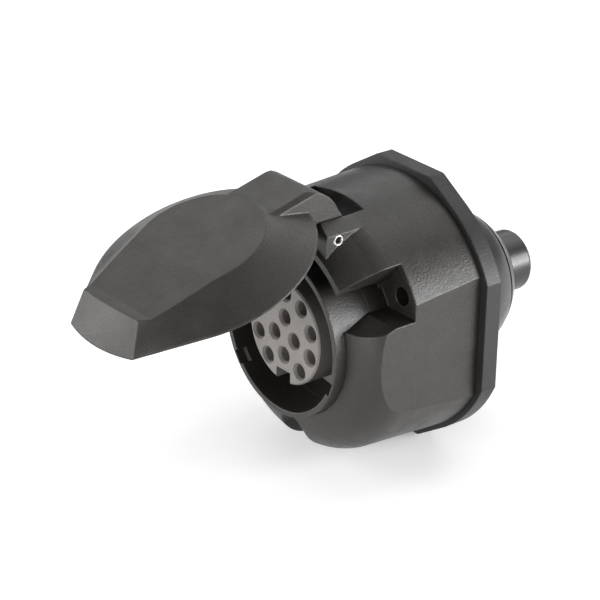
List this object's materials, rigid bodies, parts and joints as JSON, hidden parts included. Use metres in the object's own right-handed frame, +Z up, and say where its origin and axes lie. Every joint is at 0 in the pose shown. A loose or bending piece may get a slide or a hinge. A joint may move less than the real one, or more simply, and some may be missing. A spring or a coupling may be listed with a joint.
{
  "type": "trailer wiring socket",
  "caption": "Flange-mounted round trailer wiring socket with a sprung hinged lid, recessed pin sleeves, rubber gasket and a rear rubber boot with a cable nozzle.",
  "frame": {"origin": "centre of the three-hole mounting pattern, on the rear face of the flange gasket", "axes": "+Y out of the back towards the vehicle's wiring, -Y towards the trailer's plug, +Z up towards the lid's hinge, +X to the right seen from the plug side"},
  "size_m": [0.0754, 0.1546, 0.0878],
  "materials": {
    "shell_plastic": "fine-grained moulded black polyamide",
    "lid_plastic": "fine-grained moulded black polyamide",
    "insert_plastic": "smooth moulded grey polyamide",
    "gasket_rubber": "smooth black rubber",
    "boot_rubber": "satin black rubber",
    "seal_rubber": "soft black rubber",
    "contact_brass": "tarnished brass",
    "screw_steel": "zinc-plated steel",
    "pin_steel": "drawn stainless tube",
    "spring_steel": "stainless spring wire"
  },
  "bodies": {
    "socket_body": {"housing": "shell_plastic", "plug_tube": "shell_plastic", "contact_insert": "insert_plastic", "insert_flange": "insert_plastic", "insert_seal": "seal_rubber", "terminal_screws": "screw_steel", "contact_retainer": "insert_plastic", "retainer_screw": "screw_steel", "insert_screws": "screw_steel", "flange_gasket": "gasket_rubber", "rear_boot": "boot_rubber", "hinge_pin": "pin_steel", "lid_spring": "spring_steel", "contact_01": "contact_brass", "contact_02": "contact_brass", "contact_03": "contact_brass", "contact_04": "contact_brass", "contact_05": "contact_brass", "contact_06": "contact_brass", "contact_07": "contact_brass", "contact_08": "contact_brass", "contact_09": "contact_brass", "contact_10": "contact_brass", "contact_11": "contact_brass", "contact_12": "contact_brass", "contact_13": "contact_brass"},
    "lid_body": {"lid": "lid_plastic", "lid_seal": "seal_rubber"}
  },
  "joints": [
    {"name": "lid_hinge", "type": "hinge", "parent": "socket_body", "child": "lid_body", "pos_m": [0, -0.0431, 0.0329], "axis": [1, 0, 0], "range_deg": [-30, 68]}
  ]
}
